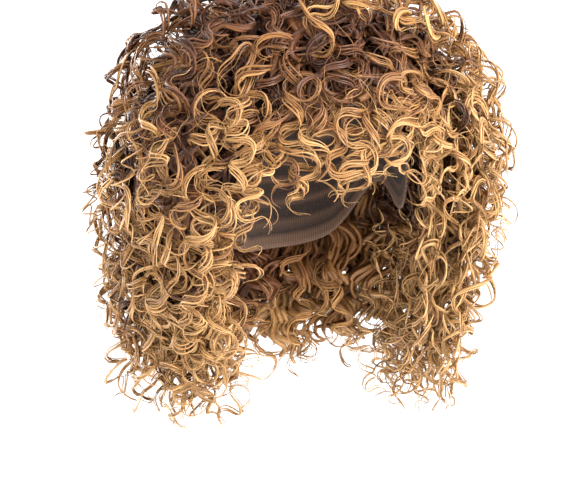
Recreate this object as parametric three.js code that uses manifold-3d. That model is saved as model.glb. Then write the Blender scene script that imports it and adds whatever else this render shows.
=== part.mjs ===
// A shoulder-length curly wig with a fringe, in millimetres, +Z up, with the face opening towards -Y.
// A thin knitted cap grips the head, and the hair is sewn to it in sections, each with its own row of locks.
// The origin is the inside of the cap at the crown, where the head meets it.
import * as THREE from "three";
import { mergeVertices } from "three/addons/utils/BufferGeometryUtils.js";
import Module from "manifold-3d";

const wasm = await Module();
wasm.setup();

// The head that the cap is knitted for: a wide egg, with the crown at the origin.
const HEAD_HALF_WIDTH = 76;
const HEAD_HALF_LENGTH = 96;
const CROWN_HEIGHT = 106;
const NAPE_DEPTH = 128;

// The cap's wall, and the gap between it and the hair sewn on it.
const CAP_WALL = 1.5;
const CAP_SIDES = 30;
const CAP_RINGS = 7;
const HAIR_OFF_CAP = 0.35;

// The rim of the cap, from the forehead round to the nape. Azimuth is in degrees from the front, and tilt in
// degrees down from the crown.
const CAP_RIM = [
  { azimuth: 0, tilt: 52 },
  { azimuth: 35, tilt: 56 },
  { azimuth: 58, tilt: 74 },
  { azimuth: 74, tilt: 97 },
  { azimuth: 98, tilt: 87 },
  { azimuth: 130, tilt: 108 },
  { azimuth: 180, tilt: 115 },
];

// The outside of the hair, from the crown (drop 0) to the hem (drop 1): how far it stands from the middle at
// the side, the front and the back, and its height above the origin.
const HAIR_OUTSIDE = [
  { drop: 0.0, side: 0, front: 0, back: 0, height: 64 },
  { drop: 0.1, side: 50, front: 44, back: 50, height: 60 },
  { drop: 0.22, side: 100, front: 84, back: 98, height: 44 },
  { drop: 0.34, side: 137, front: 108, back: 132, height: 13 },
  { drop: 0.46, side: 160, front: 122, back: 156, height: -30 },
  { drop: 0.58, side: 171, front: 128, back: 167, height: -85 },
  { drop: 0.7, side: 171, front: 128, back: 168, height: -145 },
  { drop: 0.82, side: 163, front: 126, back: 160, height: -205 },
  { drop: 0.92, side: 153, front: 124, back: 149, height: -257 },
  { drop: 1.0, side: 142, front: 120, back: 138, height: -296 },
];

// The inside of the hair follows the cap to its widest level, and hangs straight down from there.
const DROP_AT_WIDEST = 0.55;
const HANG_LENGTH = 390;

// How far down the hair reaches at each azimuth: a short fringe, then longer past the cheeks.
const HEM = [
  { azimuth: 0, drop: 0.57 },
  { azimuth: 22, drop: 0.6 },
  { azimuth: 38, drop: 0.67 },
  { azimuth: 54, drop: 0.92 },
  { azimuth: 72, drop: 1.0 },
  { azimuth: 180, drop: 1.0 },
];

// A lock is a corkscrew column: it starts inside the body of its section, comes out of it and hangs at its
// own depth in the hair, tapering to its tip.
const LOCK_SIDES = 5;
const STEPS_PER_TURN = 4;
const TURN_PITCH = 58;
const COIL_SHARE = 0.5;
const ROOT_SIZE = 0.7;
const TIP_SIZE = 0.3;
const ROOT_DEPTH_SHARE = 0.6;
const COMING_OUT = 0.12;
const UNEVEN_TIP = 0.08;
const GOLDEN = 0.618034;

// Each section is a body of hair that is sewn to the cap along its top edge, with rows of locks fused to it.
// A body spans two azimuths, and its profile gives the depths of its inside and its outside at each drop, and
// the degrees by which its front edge is set back there. A row has its first and last lock's azimuths, the
// drop of the roots, the drop that the tips reach if the hem isn't above it, the locks' depth and radius.
const SIDE_HAIR = {
  from: 47,
  to: 115,
  profile: [
    { drop: 0.23, inside: 0.0, outside: 0.3, setBack: 0 },
    { drop: 0.3, inside: 0.05, outside: 0.32, setBack: 0 },
    { drop: 0.38, inside: 0.06, outside: 0.34, setBack: 0 },
    { drop: 0.43, inside: 0.06, outside: 0.54, setBack: 1 },
    { drop: 0.54, inside: 0.06, outside: 0.6, setBack: 9 },
    { drop: 0.68, inside: 0.16, outside: 0.6, setBack: 15 },
    { drop: 0.84, inside: 0.3, outside: 0.54, setBack: 19 },
  ],
  rows: [
    { count: 2, from: 58, to: 68, root: 0.52, reach: 0.94, depth: 0.3, radius: 10 },
    { count: 4, from: 64, to: 107, root: 0.78, reach: 1.0, depth: 0.46, radius: 11 },
    { count: 5, from: 54, to: 107, root: 0.41, reach: 0.9, depth: 0.83, radius: 12.5 },
  ],
};
const SECTIONS = {
  nape_hair: {
    from: 122,
    to: 238,
    profile: [
      { drop: 0.5, inside: 0.0, outside: 0.2 },
      { drop: 0.64, inside: 0.04, outside: 0.26 },
      { drop: 0.8, inside: 0.06, outside: 0.24 },
    ],
    rows: [{ count: 5, from: 132, to: 228, root: 0.72, reach: 0.95, depth: 0.16, radius: 7 }],
  },
  back_hair: {
    from: 117,
    to: 243,
    profile: [
      { drop: 0.23, inside: 0.0, outside: 0.32 },
      { drop: 0.3, inside: 0.05, outside: 0.33 },
      { drop: 0.38, inside: 0.06, outside: 0.34 },
      { drop: 0.43, inside: 0.06, outside: 0.54 },
      { drop: 0.54, inside: 0.36, outside: 0.6 },
      { drop: 0.68, inside: 0.38, outside: 0.6 },
      { drop: 0.84, inside: 0.4, outside: 0.56 },
    ],
    rows: [
      { count: 7, from: 124, to: 236, root: 0.76, reach: 1.0, depth: 0.64, radius: 11 },
      { count: 8, from: 125, to: 235, root: 0.41, reach: 0.9, depth: 0.83, radius: 13 },
    ],
  },
  side_hair_right: { ...SIDE_HAIR, side: -1 },
  side_hair_left: { ...SIDE_HAIR, side: 1 },
  fringe_hair: {
    from: -45,
    to: 45,
    profile: [
      { drop: 0.23, inside: 0.0, outside: 0.32 },
      { drop: 0.3, inside: 0.06, outside: 0.33 },
      { drop: 0.38, inside: 0.08, outside: 0.34 },
      { drop: 0.45, inside: 0.16, outside: 0.5 },
    ],
    rows: [{ count: 9, from: -38, to: 38, root: 0.4, reach: 1.0, depth: 0.62, radius: 9 }],
  },
  crown_hair: {
    from: -180,
    to: 180,
    profile: [
      { drop: 0.0, inside: 0.04, outside: 0.86 },
      { drop: 0.07, inside: 0.04, outside: 0.8 },
      { drop: 0.13, inside: 0.04, outside: 0.66 },
      { drop: 0.18, inside: 0.0, outside: 0.58 },
      { drop: 0.21, inside: 0.44, outside: 0.58 },
      { drop: 0.36, inside: 0.46, outside: 0.6 },
    ],
    rows: [{ count: 14, from: -167, to: 167, root: 0.08, reach: 0.46, depth: 0.8, radius: 12.5 }],
  },
};
const BODY_STEP = 12;
const END_PINCH = 0.3;

// Finishes: knitted cap, brown roots and honey-blonde lengths.
const FINISHES = {
  cap: { color: 0x2b1d16, roughness: 0.9, metalness: 0 },
  nape_hair: { color: 0x7a5434, roughness: 0.5, metalness: 0 },
  back_hair: { color: 0xb98a4c, roughness: 0.45, metalness: 0 },
  side_hair_right: { color: 0xc3944f, roughness: 0.45, metalness: 0 },
  side_hair_left: { color: 0xc3944f, roughness: 0.45, metalness: 0 },
  fringe_hair: { color: 0xcc9d55, roughness: 0.45, metalness: 0 },
  crown_hair: { color: 0x7d583c, roughness: 0.5, metalness: 0 },
};

// Vertices nearer than this are one vertex, and joining solids leaves no edge shorter than the shortest.
const WELD = 1e-3;
const SHORTEST_EDGE = 0.2;

// A smooth curve through one column of a table, against its key column.
function smoothColumn(rows, key, column) {
  const slopeAt = (i) => {
    const before = rows[Math.max(i - 1, 0)];
    const after = rows[Math.min(i + 1, rows.length - 1)];
    return (after[column] - before[column]) / (after[key] - before[key]);
  };
  return (at) => {
    const last = rows.length - 2;
    const i = Math.min(Math.max(rows.findIndex((row) => row[key] > at) - 1, 0), last);
    const span = at >= rows[last + 1][key] ? last : i;
    const a = rows[span];
    const b = rows[span + 1];
    const width = b[key] - a[key];
    const t = THREE.MathUtils.clamp((at - a[key]) / width, 0, 1);
    const t2 = t * t;
    const t3 = t2 * t;
    return (
      (2 * t3 - 3 * t2 + 1) * a[column] +
      (t3 - 2 * t2 + t) * width * slopeAt(span) +
      (3 * t2 - 2 * t3) * b[column] +
      (t3 - t2) * width * slopeAt(span + 1)
    );
  };
}

const rimTilt = smoothColumn(CAP_RIM, "azimuth", "tilt");
const outsideSide = smoothColumn(HAIR_OUTSIDE, "drop", "side");
const outsideFront = smoothColumn(HAIR_OUTSIDE, "drop", "front");
const outsideBack = smoothColumn(HAIR_OUTSIDE, "drop", "back");
const outsideHeight = smoothColumn(HAIR_OUTSIDE, "drop", "height");
const hemDrop = smoothColumn(HEM, "azimuth", "drop");

// Degrees from the front, 0 to 180, of an azimuth on either side.
function fromFront(azimuth) {
  const turned = Math.abs(azimuth) % 360;
  return turned > 180 ? 360 - turned : turned;
}

// A point at a distance from the head's surface. Azimuth runs from the front towards +X.
function headPoint(azimuth, tilt, distance) {
  const a = THREE.MathUtils.degToRad(azimuth);
  const t = THREE.MathUtils.degToRad(tilt);
  const height = t > Math.PI / 2 ? NAPE_DEPTH : CROWN_HEIGHT;
  return new THREE.Vector3(
    (HEAD_HALF_WIDTH + distance) * Math.sin(t) * Math.sin(a),
    -(HEAD_HALF_LENGTH + distance) * Math.sin(t) * Math.cos(a),
    (height + distance) * Math.cos(t) - CROWN_HEIGHT,
  );
}

// A point in the hair: depth 0 lies on the cap, and depth 1 on the outside.
function hairPoint(azimuth, drop, depth) {
  const a = THREE.MathUtils.degToRad(azimuth);
  const inside = headPoint(azimuth, 90 * Math.min(drop / DROP_AT_WIDEST, 1), CAP_WALL + HAIR_OFF_CAP);
  inside.z -= Math.max(drop - DROP_AT_WIDEST, 0) * HANG_LENGTH;
  const alongFace = Math.cos(a) > 0 ? outsideFront(drop) : outsideBack(drop);
  const outside = new THREE.Vector3(
    outsideSide(drop) * Math.sin(a),
    -alongFace * Math.cos(a),
    outsideHeight(drop),
  );
  return inside.lerp(outside, depth);
}

// Moves every vertex of a three.js geometry by a function and makes a closed solid of it.
function bend(geometry, place) {
  const bare = geometry.clone();
  bare.deleteAttribute("normal");
  bare.deleteAttribute("uv");
  const position = bare.attributes.position;
  const at = new THREE.Vector3();
  for (let i = 0; i < position.count; i++) {
    at.fromBufferAttribute(position, i);
    const put = place(at);
    position.setXYZ(i, put.x, put.y, put.z);
  }
  const merged = mergeVertices(bare, WELD);
  const corners = merged.index.array;
  const kept = [];
  for (let i = 0; i < corners.length; i += 3) {
    const [a, b, c] = corners.slice(i, i + 3);
    if (a !== b && b !== c && c !== a) kept.push(a, b, c);
  }
  return new wasm.Manifold(
    new wasm.Mesh({
      numProp: 3,
      vertProperties: merged.attributes.position.array,
      triVerts: new Uint32Array(kept),
      tolerance: SHORTEST_EDGE,
    }),
  );
}

// A thin dome, turned from a flat profile: x is the share of the way to the rim and y is 0 inside, 1 outside.
function dome(sides, rings, place) {
  const profile = [];
  for (let i = 0; i <= rings; i++) profile.push(new THREE.Vector2(i / rings, 1));
  for (let i = rings; i >= 0; i--) profile.push(new THREE.Vector2(i / rings, 0));
  const turned = new THREE.LatheGeometry(profile, sides);
  return bend(turned, (at) => {
    const azimuth = THREE.MathUtils.radToDeg(Math.atan2(at.x, -at.z));
    return place(azimuth, Math.hypot(at.x, at.z), at.y);
  });
}

function makeCap() {
  return dome(CAP_SIDES, CAP_RINGS, (azimuth, share, layer) =>
    headPoint(azimuth, share * rimTilt(fromFront(azimuth)), layer * CAP_WALL),
  );
}

// The body of a section that goes all round: a dome.
function makeRoundBody({ from, to, profile }) {
  const sides = Math.round((to - from) / BODY_STEP);
  const rings = profile.length - 1;
  return dome(sides, rings, (azimuth, share, layer) => {
    const { drop, inside, outside } = profile[Math.round(share * rings)];
    return hairPoint(azimuth, drop, THREE.MathUtils.lerp(inside, outside, layer));
  });
}

// The body of any other section: a curved slab that thins towards its two ends.
function makeBody({ from, to, profile, side = 1 }) {
  const wide = Math.round((to - from) / BODY_STEP);
  const tall = profile.length - 1;
  const slab = new THREE.BoxGeometry(1, 1, 1, wide, tall, 1);
  return bend(slab, (at) => {
    const { drop, inside, outside, setBack = 0 } = profile[Math.round((0.5 - at.y) * tall)];
    const azimuth = side * THREE.MathUtils.lerp(from + setBack, to, side * at.x + 0.5);
    const thickness = 1 - END_PINCH * (2 * at.x) ** 4;
    return hairPoint(azimuth, drop, THREE.MathUtils.lerp(inside, outside, at.z * thickness + 0.5));
  });
}

// The path that a lock hangs on, from its root (s 0) to its tip (s 1).
function lockPath(lock) {
  return (s) => {
    const drop = THREE.MathUtils.lerp(lock.root, lock.tip, s);
    const out = THREE.MathUtils.smoothstep(drop, lock.root, lock.root + COMING_OUT);
    return hairPoint(lock.azimuth, drop, lock.depth * THREE.MathUtils.lerp(ROOT_DEPTH_SHARE, 1, out));
  };
}

// A lock's thickness along its path, against its full radius: fullest in the middle and thin at the tip.
function lockSize(s) {
  if (s < 0.5) return THREE.MathUtils.lerp(ROOT_SIZE, 1, THREE.MathUtils.smoothstep(s, 0, 0.5));
  return THREE.MathUtils.lerp(1, TIP_SIZE, 2 * s - 1);
}

// One lock: a column whose discs wind round the path that it hangs on.
function makeLock(lock) {
  const path = lockPath(lock);
  const turns = path(0).distanceTo(path(1)) / TURN_PITCH;
  const column = new THREE.CylinderGeometry(1, 1, 1, LOCK_SIDES, Math.ceil(turns * STEPS_PER_TURN));
  const near = 0.01;
  return bend(column, (at) => {
    const s = at.y + 0.5;
    const along = path(Math.min(s + near, 1)).sub(path(Math.max(s - near, 0))).normalize();
    const outwards = path(s).setZ(0).normalize();
    const across = new THREE.Vector3().crossVectors(along, outwards).normalize();
    const away = new THREE.Vector3().crossVectors(across, along);
    const radius = lock.radius * lockSize(s);
    const turn = 2 * Math.PI * (turns * s + lock.phase);
    return path(s)
      .addScaledVector(across, radius * (COIL_SHARE * Math.cos(turn) + at.x))
      .addScaledVector(away, radius * (COIL_SHARE * Math.sin(turn) + at.z));
  });
}

// The locks of one row, a little uneven in reach, each a part of a turn on from the last.
function locksOf(row, side) {
  return Array.from({ length: row.count }, (_, i) => {
    const azimuth = side * THREE.MathUtils.lerp(row.from, row.to, i / (row.count - 1));
    const uneven = (i * GOLDEN) % 1;
    const tip = Math.min(row.reach, hemDrop(fromFront(azimuth))) * (1 - UNEVEN_TIP * uneven);
    return { ...row, azimuth, tip, phase: i * GOLDEN };
  });
}

// A section's body, with its locks fused to it.
function makeSection(section) {
  const body = section.to - section.from === 360 ? makeRoundBody(section) : makeBody(section);
  const locks = section.rows.flatMap((row) => locksOf(row, section.side ?? 1)).map(makeLock);
  return locks.reduce((whole, lock) => whole.add(lock), body);
}

function meshOf(name, solid) {
  const made = solid.getMesh();
  const geometry = new THREE.BufferGeometry();
  geometry.setAttribute("position", new THREE.BufferAttribute(made.vertProperties, 3));
  geometry.setIndex(new THREE.BufferAttribute(made.triVerts, 1));
  geometry.computeVertexNormals();
  const mesh = new THREE.Mesh(geometry, new THREE.MeshStandardMaterial(FINISHES[name]));
  mesh.name = name;
  return mesh;
}

// The wig, put together from the cap outwards.
const wig = new THREE.Group();
wig.add(meshOf("cap", makeCap()));
for (const [name, section] of Object.entries(SECTIONS)) {
  wig.add(meshOf(name, makeSection(section)));
}

export default wig;
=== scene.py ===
"""A shoulder-length curly wig with a fringe: a knitted cap with six sections of coiled hair sewn to it."""

import bpy
import numpy as np
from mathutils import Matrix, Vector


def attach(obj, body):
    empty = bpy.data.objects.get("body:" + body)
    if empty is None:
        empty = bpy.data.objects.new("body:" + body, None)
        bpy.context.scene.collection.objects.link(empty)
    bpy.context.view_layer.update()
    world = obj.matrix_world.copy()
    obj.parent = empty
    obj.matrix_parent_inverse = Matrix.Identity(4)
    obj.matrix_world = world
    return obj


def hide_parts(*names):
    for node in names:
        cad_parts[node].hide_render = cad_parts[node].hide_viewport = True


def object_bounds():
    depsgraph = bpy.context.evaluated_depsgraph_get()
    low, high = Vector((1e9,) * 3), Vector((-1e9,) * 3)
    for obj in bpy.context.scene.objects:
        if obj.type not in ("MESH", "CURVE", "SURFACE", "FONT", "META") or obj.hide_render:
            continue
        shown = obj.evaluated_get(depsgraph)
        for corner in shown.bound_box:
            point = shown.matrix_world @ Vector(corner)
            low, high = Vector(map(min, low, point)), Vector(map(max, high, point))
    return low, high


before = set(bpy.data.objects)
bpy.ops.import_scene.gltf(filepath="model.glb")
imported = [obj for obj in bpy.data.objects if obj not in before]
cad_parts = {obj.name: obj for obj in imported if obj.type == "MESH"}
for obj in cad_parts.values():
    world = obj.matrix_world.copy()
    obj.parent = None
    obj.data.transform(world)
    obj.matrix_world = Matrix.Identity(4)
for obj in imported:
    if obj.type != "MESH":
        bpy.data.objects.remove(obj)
cad_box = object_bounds()


# The cap: a thin elastic net knitted in dark yarn, which grips by its stretch and carries all of the hair.
# Rows of weft tape go round it, machine stitched, and a soft turned binding runs along its whole rim.
CAP_HALF_WIDTH = 0.076
CAP_HALF_LENGTH = 0.096
CROWN_HEIGHT = 0.106
NAPE_DEPTH = 0.128
CAP_WALL = 0.0015
CAP_SIDES = 128
CAP_RINGS = 60
RIM_AZIMUTH = (0, 35, 58, 74, 98, 130, 180)
RIM_TILT = (52, 56, 74, 97, 87, 108, 115)
WEFT_ROWS = 13
WEFT_RIDGE = 0.0005
WEFT_SHARPNESS = 3
BINDING_SHARE = 0.045
BINDING_ROLL = 0.0006
BINDING_TURN = 1.1
ROLL_INSIDE = 0.5
YARN = (58, 40, 31)
# Painted shade in the holes between the stitches of the net.
HOLE_PAINTED_SHADE = (16, 11, 9)
YARN_TO_HOLE = (0.25, 0.7)
TAPE_DARK = (70, 50, 39)
TAPE_LIGHT = (112, 84, 64)
STITCH_SCALE = 420.0
STITCH_UNEVEN = 0.25
TAPE_SCALE = 210.0
TAPE_WAVER = 1.5
FUZZ_SCALE = 900.0
KNIT_RELIEF = 0.0006
KNIT_RELIEF_STRENGTH = 0.6
KNIT_ROUGHNESS = 0.85
KNIT_SHEEN = 0.05
KNIT_FACES_APART = 0.01
VALUE_FIELDS = {"FLOAT": "value", "FLOAT_VECTOR": "vector", "FLOAT_COLOR": "color"}


def smooth_through(at, keys, values):
    """A smooth curve through (key, value) pairs: a cubic from each key to the next, whose slope at a
    key is that of the straight line between the key's two neighbours."""
    keys = np.asarray(keys, float)
    values = np.asarray(values, float)
    last = len(keys) - 1
    before = np.maximum(np.arange(last + 1) - 1, 0)
    after = np.minimum(np.arange(last + 1) + 1, last)
    slopes = (values[after] - values[before]) / (keys[after] - keys[before])
    i = np.clip(np.searchsorted(keys, at, side="right") - 1, 0, last - 1)
    width = keys[i + 1] - keys[i]
    t = np.clip((at - keys[i]) / width, 0, 1)
    step = t * t * (3 - 2 * t)
    lead = t * (1 - t) ** 2 * slopes[i] - t * t * (1 - t) * slopes[i + 1]
    return values[i] * (1 - step) + values[i + 1] * step + width * lead


def from_front(azimuth):
    """Degrees from the front, 0 to 180, of an azimuth on either side."""
    return np.abs((azimuth + 180) % 360 - 180)


def cap_point(azimuth, tilt, distance):
    """A point off the inside of the cap: an egg of three half-axes, longer below its widest level, each
    of them grown by the distance. The azimuth goes round from the front to the wearer's left, and the
    tilt goes down from the crown."""
    a = np.radians(azimuth)
    t = np.radians(tilt)
    height = np.where(t > np.pi / 2, NAPE_DEPTH, CROWN_HEIGHT)
    x = (CAP_HALF_WIDTH + distance) * np.sin(t) * np.sin(a)
    y = -(CAP_HALF_LENGTH + distance) * np.sin(t) * np.cos(a)
    z = (height + distance) * np.cos(t) - CROWN_HEIGHT
    return np.stack(np.broadcast_arrays(x, y, z), axis=-1)


def paint(colour):
    """A colour of 0 to 255 steps as the linear light that a shader takes: the sRGB curve, undone."""
    share = np.asarray(colour, float) / 255
    return np.where(share < 0.04045, share / 12.92, ((share + 0.055) / 1.055) ** 2.4)


def new_piece(name, vertices, corners, sizes, material):
    """A mesh object at the origin, from its vertices, the corners of all its faces one after the other,
    and each face's number of corners."""
    mesh = bpy.data.meshes.new(name)
    mesh.vertices.add(len(vertices))
    mesh.vertices.foreach_set("co", vertices.astype(np.float32).ravel())
    mesh.loops.add(len(corners))
    mesh.loops.foreach_set("vertex_index", corners.astype(np.int32))
    mesh.polygons.add(len(sizes))
    mesh.polygons.foreach_set("loop_start", (np.cumsum(sizes) - sizes).astype(np.int32))
    mesh.polygons.foreach_set("loop_total", sizes.astype(np.int32))
    mesh.update(calc_edges=True)
    mesh.shade_smooth()
    mesh.materials.append(material)
    piece = bpy.data.objects.new(name, mesh)
    bpy.context.scene.collection.objects.link(piece)
    return piece


def add_values(piece, name, kind, values):
    """Puts one value for each vertex on a piece, for its material to read."""
    store = piece.data.attributes.new(name, kind, "POINT")
    store.data.foreach_set(VALUE_FIELDS[kind], values.astype(np.float32).ravel())


def new_material(name):
    """An empty node material, with its tree, its shader and a short way to add and link nodes."""
    material = bpy.data.materials.new(name)
    material.use_nodes = True
    tree = material.node_tree

    def add(kind, sockets=(), **settings):
        """A new node with these settings, whose sockets are linked to other nodes' or given values."""
        node = tree.nodes.new(kind)
        for key, value in settings.items():
            setattr(node, key, value)
        for socket, source in dict(sockets).items():
            if isinstance(source, bpy.types.NodeSocket):
                tree.links.new(source, node.inputs[socket])
            else:
                node.inputs[socket].default_value = source
        return node

    return material, tree, tree.nodes["Principled BSDF"], add


def cap_net():
    """Net, tape and stitches. Yarn turns to dark holes with the distance from the middle of each
    stitch: painted shade in the holes of the net. A wave of stitches darkens and lightens the tape on
    each weft ridge, and stitches and fuzz together are the relief."""
    material, tree, shader, add = new_material("cap_net")
    knit = add("ShaderNodeAttribute", attribute_name="knit").outputs["Vector"]
    weft = add("ShaderNodeAttribute", attribute_name="weft").outputs["Fac"]
    stitch_sockets = {"Vector": knit, "Scale": STITCH_SCALE, "Randomness": STITCH_UNEVEN}
    stitches = add("ShaderNodeTexVoronoi", stitch_sockets, feature="SMOOTH_F1").outputs["Distance"]
    loop_sockets = {"Vector": knit, "Scale": TAPE_SCALE, "Distortion": TAPE_WAVER, "Detail": 1.0}
    loops = add("ShaderNodeTexWave", loop_sockets).outputs["Fac"]
    fuzz = add("ShaderNodeTexNoise", {"Vector": knit, "Scale": FUZZ_SCALE, "Detail": 4.0}).outputs["Fac"]
    net = add("ShaderNodeValToRGB", {"Fac": stitches})
    for stop, colour, position in zip(net.color_ramp.elements, (YARN, HOLE_PAINTED_SHADE), YARN_TO_HOLE):
        stop.color = (*paint(colour), 1)
        stop.position = position
    tape_sockets = {"Factor": loops, "A": (*paint(TAPE_DARK), 1), "B": (*paint(TAPE_LIGHT), 1)}
    tape = add("ShaderNodeMix", tape_sockets, data_type="RGBA")
    both_sockets = {"Factor": weft, "A": net.outputs["Color"], "B": tape.outputs["Result"]}
    both = add("ShaderNodeMix", both_sockets, data_type="RGBA")
    tree.links.new(both.outputs["Result"], shader.inputs["Base Color"])
    relief = add("ShaderNodeMath", {0: stitches, 1: fuzz}, operation="ADD").outputs[0]
    bump_sockets = {"Height": relief, "Strength": KNIT_RELIEF_STRENGTH, "Distance": KNIT_RELIEF}
    bump = add("ShaderNodeBump", bump_sockets, invert=True)
    tree.links.new(bump.outputs["Normal"], shader.inputs["Normal"])
    shader.inputs["Roughness"].default_value = KNIT_ROUGHNESS
    shader.inputs["Sheen Weight"].default_value = KNIT_SHEEN
    return material


def make_cap():
    """A closed cap: rings from the crown to the rim outside, round the binding, and back to the crown
    inside. Each ring's tilt is its share of the rim's, and weft ridges and the binding stand off the
    wall. A ridge is a power of a cosine of the share, and the binding the root of half a sine wave."""
    share = np.linspace(0, 1, CAP_RINGS + 1)[1:, None]
    azimuth = np.linspace(0, 360, CAP_SIDES, endpoint=False)[None, :]
    tilt = share * smooth_through(from_front(azimuth), RIM_AZIMUTH, RIM_TILT)
    weft = np.clip(np.cos(2 * np.pi * WEFT_ROWS * share), 0, 1) ** WEFT_SHARPNESS * np.ones_like(tilt)
    binding = np.clip((share - 1 + BINDING_SHARE) / BINDING_SHARE, 0, 1) * np.ones_like(tilt)
    roll = BINDING_ROLL * np.sin(np.pi * np.clip(binding * BINDING_TURN, 0, 1)) ** 0.5
    outside = cap_point(azimuth, tilt, CAP_WALL + WEFT_RIDGE * weft + roll)
    inside = cap_point(azimuth, tilt, WEFT_RIDGE * (1 - weft) - ROLL_INSIDE * roll)
    rings = np.concatenate([outside, inside[::-1]])
    poles = cap_point(np.zeros(2), np.zeros(2), np.array([CAP_WALL, 0.0]))
    vertices = np.concatenate([poles, rings.reshape(-1, 3)])
    at = len(poles) + np.arange(len(rings))[:, None] * CAP_SIDES + np.arange(CAP_SIDES)[None, :]
    beside = np.roll(at, -1, axis=1)
    walls = np.stack([at[:-1], at[1:], beside[1:], beside[:-1]], axis=-1).reshape(-1, 4)
    top = np.stack([np.zeros_like(at[0]), at[0], beside[0]], axis=-1)
    under = np.stack([np.ones_like(at[0]), beside[-1], at[-1]], axis=-1)
    corners = np.concatenate([walls.ravel(), top.ravel(), under.ravel()])
    sizes = np.concatenate([np.full(len(walls), 4), np.full(2 * CAP_SIDES, 3)])
    piece = new_piece("knitted_cap", vertices, corners, sizes, cap_net())
    around = np.radians(azimuth) * CAP_HALF_WIDTH * np.ones_like(tilt)
    down = np.radians(tilt) * CROWN_HEIGHT
    face = np.full_like(tilt, KNIT_FACES_APART)
    knit = [np.stack([around, down, face], -1), np.stack([around, down, -face], -1)[::-1]]
    knit = np.concatenate(knit).reshape(-1, 3)
    add_values(piece, "knit", "FLOAT_VECTOR", np.concatenate([np.zeros_like(poles), knit]))
    tape = np.maximum(weft, np.ceil(binding))
    tape = np.concatenate([np.zeros(len(poles)), tape.ravel(), tape[::-1].ravel()])
    add_values(piece, "weft", "FLOAT", tape)
    return piece


cap = make_cap()
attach(cap, "root")
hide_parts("cap")


# The nape hair: the lowest rows at the back of the cap, which hang inside all of the others.
# Each lock is a bundle of synthetic fibre that was set round a rod, so it hangs as a coil. Its root is
# bound into a weft, and the weft is sewn to the cap.

# What a row of locks is unless it says otherwise, with lengths in metres. Each row adds its number of
# locks, the azimuths that it goes between, the drops of its roots, its tips as shares of the hem's
# drop, and its depth at the root and once out. In a row with a reach, no tip is further below its root
# than that.
LOCK = dict(
    drift=3,  # degrees that a lock may wander from its root to its tip
    sway=0.006,  # height of its slow sway
    sway_length=0.075,  # length of one sway
    radius=0.0098,  # half the width of a turn
    pitch=0.031,  # length of one turn
    round=(0.15, 0.7),  # depth of a turn as a share of its width
    meander=(0.2, 0.9),  # how far a turn is drawn out into an S
    tilt=(-0.3, 0.3),  # how far a turn leans along the lock
    steps=11,  # points in each turn
    plies=6,  # ribbons that coil together
    apart=0.0034,  # how far the outer plies lie from the middle one
    fibres=1,  # fibres in a ply, of which the first is its core
    ribbon=0.0014,  # half the width of a ply
    core=0.8,  # share of that which the core fills, or 0 for no core
    loose=0.0,  # share of the other fibres that leave the ply
    half_width=0.0005,  # of a fibre that isn't a core
    half_thickness=0.0004,  # of every fibre, at least
    flat=False,  # whether the fibres lie side by side as one layer
    brown=0.3,  # share of the lock by which the brown has turned to gold
    uneven=0.12,  # how far that changes from lock to lock
    # The painted shade darkens a lock's colour for the shade that falls on it under the outer locks; 1
    # paints none.
    painted_shade=1.0,  # how light the lock is
)
# A flat waved layer, which fills the room under the locks; its colour is darkened by painted shade, for
# the shade that falls under them.
BAND = dict(
    LOCK, drift=2, sway=0.004, sway_length=0.07, radius=0.005, pitch=0.032, round=(0.5, 0.8),
    meander=(0, 0), tilt=(0, 0), steps=7, plies=1, apart=0.0, fibres=5, ribbon=0.014, core=0.0, loose=0.1,
    half_width=0.0036, half_thickness=0.0012, flat=True, brown=1.8, uneven=0.1, painted_shade=0.74,
)


def rise(t):
    """0 to 1 with a gentle start and end: three times the square, less twice the cube."""
    t = np.clip(t, 0, 1)
    return t * t * (3 - 2 * t)


def unit(vectors):
    """Vectors divided by their lengths, with a floor under the length so that none divides by zero."""
    return vectors / np.maximum(np.linalg.norm(vectors, axis=-1, keepdims=True), 1e-9)


# The roots start just clear of the cap.
HAIR_OFF_CAP = 0.00035

# The outside of the hair, from crown to hem: its reach to the side, front and back, and its height.
OUTSIDE_DROP = (0, 0.1, 0.22, 0.34, 0.46, 0.58, 0.7, 0.82, 0.92, 1)
OUTSIDE_SIDE = (0, 0.05, 0.1, 0.137, 0.16, 0.171, 0.171, 0.164, 0.156, 0.149)
OUTSIDE_FRONT = (0, 0.044, 0.084, 0.108, 0.122, 0.128, 0.128, 0.126, 0.124, 0.12)
OUTSIDE_BACK = (0, 0.05, 0.098, 0.132, 0.156, 0.167, 0.168, 0.162, 0.154, 0.147)
OUTSIDE_HEIGHT = (0.074, 0.068, 0.047, 0.013, -0.03, -0.085, -0.145, -0.205, -0.257, -0.296)
DROP_AT_WIDEST = 0.55
HANG_LENGTH = 0.39

# Below the cap the front and the sides are drawn in towards the hem, less so on the wearer's left.
TUCK_IN = 0.27
TUCK_START = 0.6
TUCK_RUN = 0.4
TUCK_AZIMUTH = 125
TUCK_FADE = 45
LEFT_TUCK = 0.5


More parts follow.
